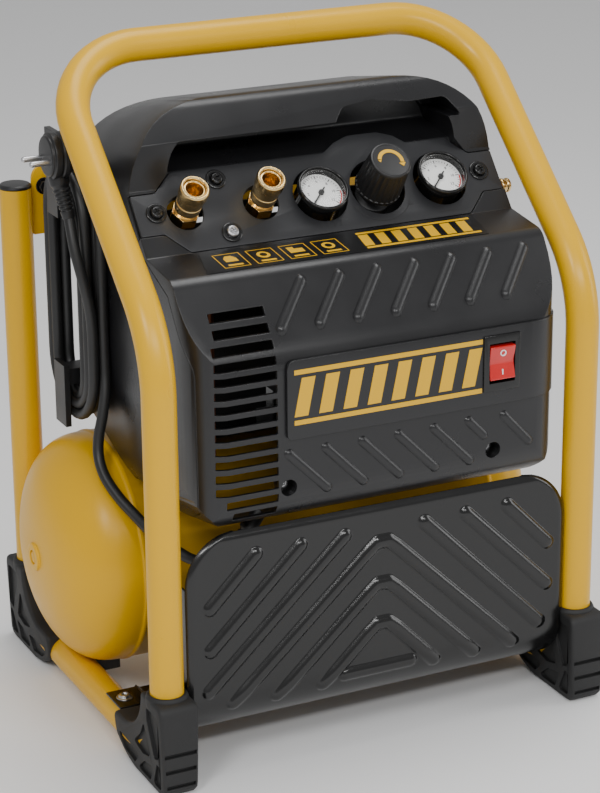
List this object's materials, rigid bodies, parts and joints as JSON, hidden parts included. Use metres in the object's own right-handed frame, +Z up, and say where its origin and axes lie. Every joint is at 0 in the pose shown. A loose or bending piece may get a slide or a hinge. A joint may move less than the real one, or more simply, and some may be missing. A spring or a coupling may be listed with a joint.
{
  "type": "portable air compressor",
  "caption": "Portable electric air compressor: motor and pump under moulded covers on a horizontal domed tank, in a bent-tube carrying cage with rubber feet.",
  "frame": {"origin": "on the floor, under the middle of the machine's bounding box, cord left out", "axes": "+Z up, -Y towards the person at the controls, +X to the right seen from the front"},
  "size_m": [0.462, 0.364, 0.579],
  "materials": {
    "yellow_paint": "smooth gloss enamel",
    "black_paint": "satin powder coat",
    "cover_plastic": "fine moulded texture",
    "panel_plastic": "fine moulded texture",
    "black_plastic": "satin moulding",
    "grey_rubber": "matt moulded rubber",
    "cord_rubber": "smooth cable sheath",
    "brass": "turned and polished",
    "cast_aluminium": "cast and machined",
    "steel": "ground",
    "copper": "drawn copper tube",
    "red_plastic": "gloss"
  },
  "bodies": {
    "machine": {"cage_tube": "yellow_paint", "rear_cross_plate": "yellow_paint", "tank_shell": "yellow_paint", "tank_head_left": "yellow_paint", "tank_head_right": "yellow_paint", "skid_plate": "black_paint", "tank_saddle_left": "black_paint", "tank_saddle_right": "black_paint", "pump_carrier": "black_paint", "panel_screw_1": "black_paint", "panel_screw_2": "black_paint", "panel_screw_3": "black_paint", "panel_screw_4": "black_paint", "front_cover": "cover_plastic", "rear_cover": "cover_plastic", "control_panel": "panel_plastic", "upright_cap_left": "black_plastic", "upright_cap_right": "black_plastic", "tank_gauge_case": "black_plastic", "line_gauge_case": "black_plastic", "switch_housing": "black_plastic", "pressure_switch": "black_plastic", "cord_hook_upper": "black_plastic", "cord_hook_lower": "black_plastic", "cord_gland": "black_plastic", "plug_body": "black_plastic", "foot_front_left": "grey_rubber", "foot_front_right": "grey_rubber", "foot_rear_left": "grey_rubber", "foot_rear_right": "grey_rubber", "rubber_mount_motor": "grey_rubber", "rubber_mount_pump": "grey_rubber", "cord_tube": "cord_rubber", "cord_hank": "cord_rubber", "coupler_body_left": "brass", "coupler_body_right": "brass", "safety_valve_body": "brass", "drain_valve_body": "brass", "check_valve": "brass", "air_manifold": "cast_aluminium", "regulator_body": "cast_aluminium", "motor_housing": "cast_aluminium", "crankcase": "cast_aluminium", "cylinder": "cast_aluminium", "cylinder_head": "cast_aluminium", "bearing_rear": "steel", "bearing_front": "steel", "delivery_tube": "copper", "supply_tube": "copper"},
    "switch": {"switch_rocker": "red_plastic"},
    "regulator": {"regulator_knob": "black_plastic"},
    "tank_needle": {"tank_gauge_needle": "black_plastic"},
    "line_needle": {"line_gauge_needle": "black_plastic"},
    "sleeve_left": {"coupler_sleeve_left": "brass"},
    "sleeve_right": {"coupler_sleeve_right": "brass"},
    "safety_pull": {"safety_valve_pull": "brass"},
    "drain_knob": {"drain_valve_knob": "brass"},
    "rotor": {"rotor_shaft": "steel", "cooling_fan": "black_plastic"},
    "piston": {"piston": "cast_aluminium"}
  },
  "joints": [
    {"name": "switch_rock", "type": "hinge", "parent": "machine", "child": "switch", "pos_m": [0.104, -0.164, 0.323], "axis": [1, 0, 0], "range_deg": [-9, 9]},
    {"name": "regulator_turn", "type": "hinge", "parent": "machine", "child": "regulator", "pos_m": [0.051, -0.05586, 0.44958], "axis": [0, 0.6428, -0.766], "range_deg": [0, 270]},
    {"name": "tank_needle_turn", "type": "hinge", "parent": "machine", "child": "tank_needle", "pos_m": [-0.002, -0.05586, 0.44958], "axis": [0, 0.6428, -0.766], "range_deg": [0, 270]},
    {"name": "line_needle_turn", "type": "hinge", "parent": "machine", "child": "line_needle", "pos_m": [0.11, -0.05586, 0.44958], "axis": [0, 0.6428, -0.766], "range_deg": [0, 270]},
    {"name": "sleeve_left_slide", "type": "slide", "parent": "machine", "child": "sleeve_left", "axis": [0, 0.6428, -0.766], "range_m": [0, 0.003], "stiffness_N_per_m": 800, "springref_m": -0.004},
    {"name": "sleeve_right_slide", "type": "slide", "parent": "machine", "child": "sleeve_right", "axis": [0, 0.6428, -0.766], "range_m": [0, 0.003], "stiffness_N_per_m": 800, "springref_m": -0.004},
    {"name": "safety_pull_slide", "type": "slide", "parent": "machine", "child": "safety_pull", "axis": [1, 0, 0], "range_m": [0, 0.003], "stiffness_N_per_m": 900, "springref_m": -0.004},
    {"name": "drain_turn", "type": "hinge", "parent": "machine", "child": "drain_knob", "pos_m": [0.06, 0.044, 0.01], "axis": [0, 0, 1], "range_deg": [0, 360]},
    {"name": "rotor_spin", "type": "hinge", "parent": "machine", "child": "rotor", "pos_m": [0, 0.03, 0.322], "axis": [1, 0, 0], "continuous": true},
    {"name": "piston_stroke", "type": "slide", "parent": "machine", "child": "piston", "axis": [0, 0, 1], "range_m": [-0.016, 0]}
  ]
}
